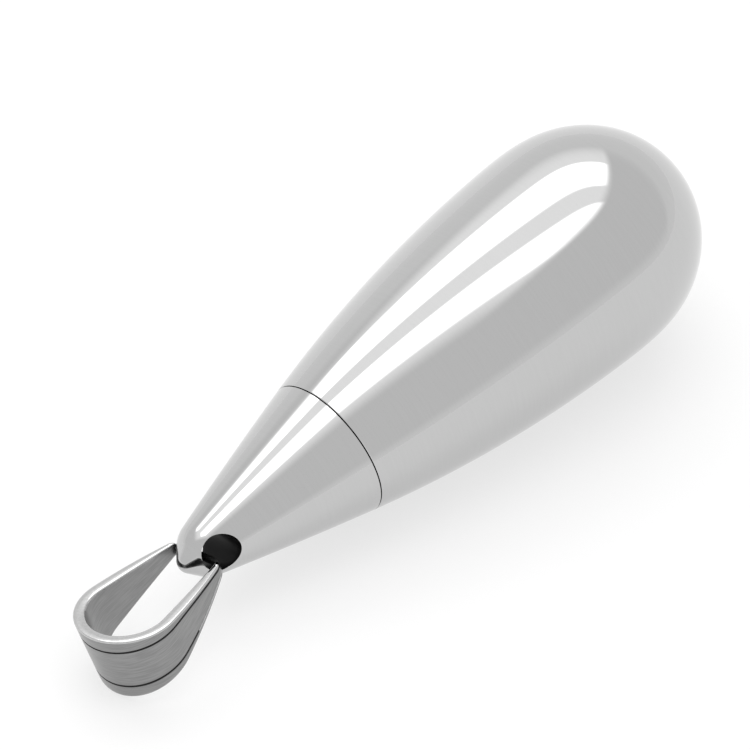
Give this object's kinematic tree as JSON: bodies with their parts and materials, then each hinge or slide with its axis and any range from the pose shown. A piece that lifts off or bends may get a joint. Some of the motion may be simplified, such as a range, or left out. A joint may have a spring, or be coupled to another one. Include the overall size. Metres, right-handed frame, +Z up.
{
  "type": "keepsake urn pendant",
  "caption": "Hollow teardrop pendant of polished steel with a screw-off conical cap and a bent strip bail, lying on its side.",
  "frame": {"origin": "on the surface that the pendant lies on, under the middle of its bounding box", "axes": "+X along the pendant from the bail to the round end, +Z up from the surface, +Y to the left of +X"},
  "size_m": [0.0432, 0.0126, 0.0131],
  "materials": {
    "urn_steel": "mirror-polished stainless steel",
    "cap_steel": "mirror-polished stainless steel",
    "bail_steel": "satin stainless steel with a polished rim and two dark engraved lines"
  },
  "bodies": {
    "urn": {"urn_body": "urn_steel"},
    "cap": {"cap": "cap_steel"},
    "bail": {"bail": "bail_steel"}
  },
  "joints": [
    {"name": "cap_slide", "type": "slide", "parent": "urn", "child": "cap", "axis": [-0.9951, 0, -0.0993], "range_m": [0, 0.0055]},
    {"name": "bail_hinge", "type": "hinge", "parent": "cap", "child": "bail", "pos_m": [-0.01261, 0, 0.00395], "axis": [-0.0472, -0.8796, 0.4733], "range_deg": [-35, 30]}
  ]
}
